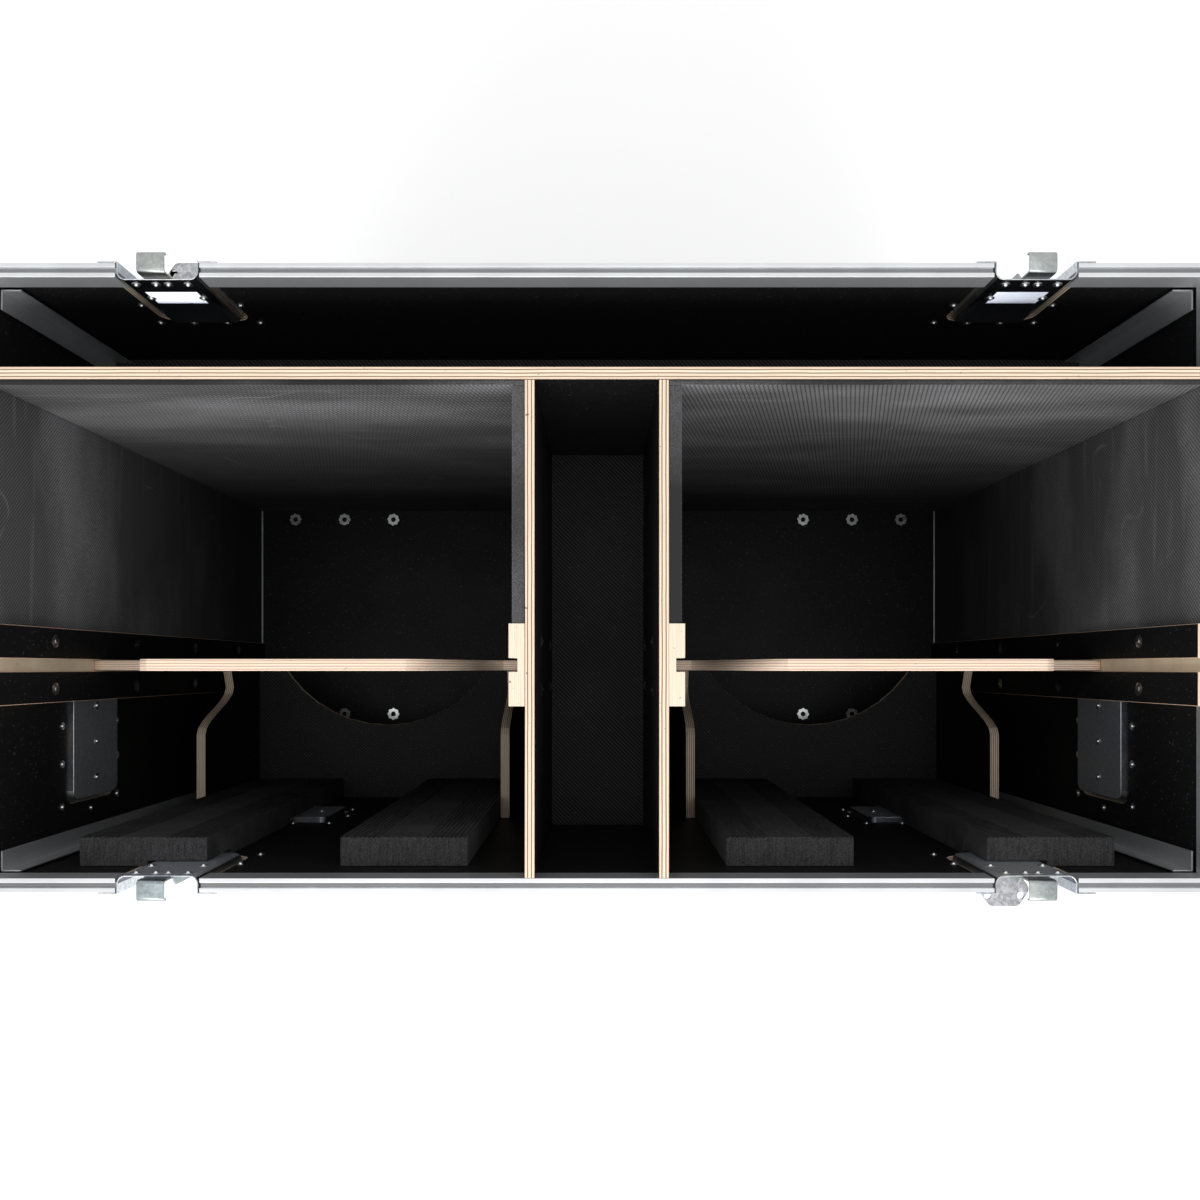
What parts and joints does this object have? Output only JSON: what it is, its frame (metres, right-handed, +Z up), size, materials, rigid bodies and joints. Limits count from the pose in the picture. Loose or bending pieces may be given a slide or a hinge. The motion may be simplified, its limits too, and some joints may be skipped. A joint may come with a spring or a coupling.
{
  "type": "lighting flight case",
  "caption": "Open-top black plywood road case on swivel casters, with aluminium edges, recessed latches, sprung handles and foam-lined bays under lift-out bars.",
  "frame": {"origin": "on the ground under the middle of the case", "axes": "+X along the case to the right, +Y to the rear compartment, +Z up"},
  "size_m": [1.2134, 0.6624, 0.9175],
  "materials": {
    "black_ply": "black phenolic film on birch plywood, satin",
    "bare_ply": "birch plywood, sawn edges bare, faces black",
    "aluminium": "natural anodised",
    "zinc_steel": "zinc plated sheet steel",
    "foam": "charcoal closed-cell foam, matt",
    "handle_black": "black moulded grip on a black steel rod",
    "wheel_rubber": "grey-black tread on a moulded centre"
  },
  "bodies": {
    "case": {"floor_panel": "black_ply", "front_wall": "black_ply", "rear_wall": "black_ply", "left_wall": "black_ply", "right_wall": "black_ply", "left_rim": "aluminium", "right_rim": "aluminium", "front_rim": "aluminium", "rear_rim": "aluminium", "outer_frame": "aluminium", "rear_partition": "bare_ply", "rear_shelf": "black_ply", "centre_shelf": "black_ply", "left_divider": "bare_ply", "left_wall_rail": "black_ply", "left_cradle": "black_ply", "left_lining": "foam", "left_outer_strip": "foam", "left_inner_strip": "foam", "left_handle_dish": "zinc_steel", "right_divider": "bare_ply", "right_wall_rail": "black_ply", "right_cradle": "black_ply", "right_lining": "foam", "right_outer_strip": "foam", "right_inner_strip": "foam", "right_handle_dish": "zinc_steel", "front_left_latch_dish": "zinc_steel", "front_left_handle_dish": "zinc_steel", "front_right_latch_dish": "zinc_steel", "front_right_handle_dish": "zinc_steel", "rear_left_latch_dish": "zinc_steel", "rear_left_handle_dish": "zinc_steel", "rear_right_latch_dish": "zinc_steel", "rear_right_handle_dish": "zinc_steel"},
    "left_retaining_bar": {"left_bar": "bare_ply"},
    "right_retaining_bar": {"right_bar": "bare_ply"},
    "front_left_hook": {"front_left_latch_hook": "zinc_steel"},
    "front_left_wing": {"front_left_latch_wing": "zinc_steel"},
    "front_right_hook": {"front_right_latch_hook": "zinc_steel"},
    "front_right_wing": {"front_right_latch_wing": "zinc_steel"},
    "rear_left_hook": {"rear_left_latch_hook": "zinc_steel"},
    "rear_left_wing": {"rear_left_latch_wing": "zinc_steel"},
    "rear_right_hook": {"rear_right_latch_hook": "zinc_steel"},
    "rear_right_wing": {"rear_right_latch_wing": "zinc_steel"},
    "front_left_grip": {"front_left_handle_grip": "handle_black"},
    "front_right_grip": {"front_right_handle_grip": "handle_black"},
    "rear_left_grip": {"rear_left_handle_grip": "handle_black"},
    "rear_right_grip": {"rear_right_handle_grip": "handle_black"},
    "left_grip": {"left_handle_grip": "handle_black"},
    "right_grip": {"right_handle_grip": "handle_black"},
    "front_left_swivel": {"front_left_caster_fork": "zinc_steel"},
    "front_left_wheel": {"front_left_caster_wheel": "wheel_rubber"},
    "front_right_swivel": {"front_right_caster_fork": "zinc_steel"},
    "front_right_wheel": {"front_right_caster_wheel": "wheel_rubber"},
    "rear_left_swivel": {"rear_left_caster_fork": "zinc_steel"},
    "rear_left_wheel": {"rear_left_caster_wheel": "wheel_rubber"},
    "rear_right_swivel": {"rear_right_caster_fork": "zinc_steel"},
    "rear_right_wheel": {"rear_right_caster_wheel": "wheel_rubber"}
  },
  "joints": [
    {"name": "left_bar_lift", "type": "slide", "parent": "case", "child": "left_retaining_bar", "axis": [0, 0, 1], "range_m": [0, 0.42]},
    {"name": "right_bar_lift", "type": "slide", "parent": "case", "child": "right_retaining_bar", "axis": [0, 0, 1], "range_m": [0, 0.42]},
    {"name": "front_left_wing_turn", "type": "hinge", "parent": "case", "child": "front_left_wing", "pos_m": [-0.419, -0.292, 0.8245], "axis": [0, -1, 0], "range_deg": [0, 180]},
    {"name": "front_left_hook_draw", "type": "slide", "parent": "case", "child": "front_left_hook", "axis": [0, 0, 1], "range_m": [-0.01, 0]},
    {"name": "front_right_wing_turn", "type": "hinge", "parent": "case", "child": "front_right_wing", "pos_m": [0.419, -0.292, 0.8245], "axis": [0, -1, 0], "range_deg": [0, 180]},
    {"name": "front_right_hook_draw", "type": "slide", "parent": "case", "child": "front_right_hook", "axis": [0, 0, 1], "range_m": [-0.01, 0]},
    {"name": "rear_left_wing_turn", "type": "hinge", "parent": "case", "child": "rear_left_wing", "pos_m": [-0.419, 0.292, 0.8245], "axis": [0, 1, 0], "range_deg": [0, 180]},
    {"name": "rear_left_hook_draw", "type": "slide", "parent": "case", "child": "rear_left_hook", "axis": [0, 0, 1], "range_m": [-0.01, 0]},
    {"name": "rear_right_wing_turn", "type": "hinge", "parent": "case", "child": "rear_right_wing", "pos_m": [0.419, 0.292, 0.8245], "axis": [0, 1, 0], "range_deg": [0, 180]},
    {"name": "rear_right_hook_draw", "type": "slide", "parent": "case", "child": "rear_right_hook", "axis": [0, 0, 1], "range_m": [-0.01, 0]},
    {"name": "front_left_grip_lift", "type": "hinge", "parent": "case", "child": "front_left_grip", "pos_m": [-0.418, -0.2911, 0.5273], "axis": [-1, 0, 0], "range_deg": [0, 90], "stiffness_Nm_per_rad": 0.6, "springref_deg": -20.05},
    {"name": "front_right_grip_lift", "type": "hinge", "parent": "case", "child": "front_right_grip", "pos_m": [0.418, -0.2911, 0.5273], "axis": [-1, 0, 0], "range_deg": [0, 90], "stiffness_Nm_per_rad": 0.6, "springref_deg": -20.05},
    {"name": "rear_left_grip_lift", "type": "hinge", "parent": "case", "child": "rear_left_grip", "pos_m": [-0.418, 0.2911, 0.5273], "axis": [1, 0, 0], "range_deg": [0, 90], "stiffness_Nm_per_rad": 0.6, "springref_deg": -20.05},
    {"name": "rear_right_grip_lift", "type": "hinge", "parent": "case", "child": "rear_right_grip", "pos_m": [0.418, 0.2911, 0.5273], "axis": [1, 0, 0], "range_deg": [0, 90], "stiffness_Nm_per_rad": 0.6, "springref_deg": -20.05},
    {"name": "left_grip_lift", "type": "hinge", "parent": "case", "child": "left_grip", "pos_m": [-0.5911, -0.171, 0.7303], "axis": [0, 1, 0], "range_deg": [0, 90], "stiffness_Nm_per_rad": 0.6, "springref_deg": -20.05},
    {"name": "right_grip_lift", "type": "hinge", "parent": "case", "child": "right_grip", "pos_m": [0.5911, -0.171, 0.7303], "axis": [0, -1, 0], "range_deg": [0, 90], "stiffness_Nm_per_rad": 0.6, "springref_deg": -20.05},
    {"name": "front_left_caster_swivel", "type": "hinge", "parent": "case", "child": "front_left_swivel", "pos_m": [-0.478, -0.209, 0.1], "axis": [0, 0, 1], "continuous": true},
    {"name": "front_left_wheel_spin", "type": "hinge", "parent": "front_left_swivel", "child": "front_left_wheel", "pos_m": [-0.446, -0.209, 0.05], "axis": [0, 1, 0], "continuous": true},
    {"name": "front_right_caster_swivel", "type": "hinge", "parent": "case", "child": "front_right_swivel", "pos_m": [0.478, -0.209, 0.1], "axis": [0, 0, 1], "continuous": true},
    {"name": "front_right_wheel_spin", "type": "hinge", "parent": "front_right_swivel", "child": "front_right_wheel", "pos_m": [0.446, -0.209, 0.05], "axis": [0, 1, 0], "continuous": true},
    {"name": "rear_left_caster_swivel", "type": "hinge", "parent": "case", "child": "rear_left_swivel", "pos_m": [-0.478, 0.209, 0.1], "axis": [0, 0, 1], "continuous": true},
    {"name": "rear_left_wheel_spin", "type": "hinge", "parent": "rear_left_swivel", "child": "rear_left_wheel", "pos_m": [-0.446, 0.209, 0.05], "axis": [0, 1, 0], "continuous": true},
    {"name": "rear_right_caster_swivel", "type": "hinge", "parent": "case", "child": "rear_right_swivel", "pos_m": [0.478, 0.209, 0.1], "axis": [0, 0, 1], "continuous": true},
    {"name": "rear_right_wheel_spin", "type": "hinge", "parent": "rear_right_swivel", "child": "rear_right_wheel", "pos_m": [0.446, 0.209, 0.05], "axis": [0, 1, 0], "continuous": true}
  ],
  "couplings": [
    {"joint": "front_left_wing_turn", "follows": "front_left_hook_draw", "rad_per_m": -314.16},
    {"joint": "front_right_wing_turn", "follows": "front_right_hook_draw", "rad_per_m": -314.16},
    {"joint": "rear_left_wing_turn", "follows": "rear_left_hook_draw", "rad_per_m": -314.16},
    {"joint": "rear_right_wing_turn", "follows": "rear_right_hook_draw", "rad_per_m": -314.16}
  ]
}
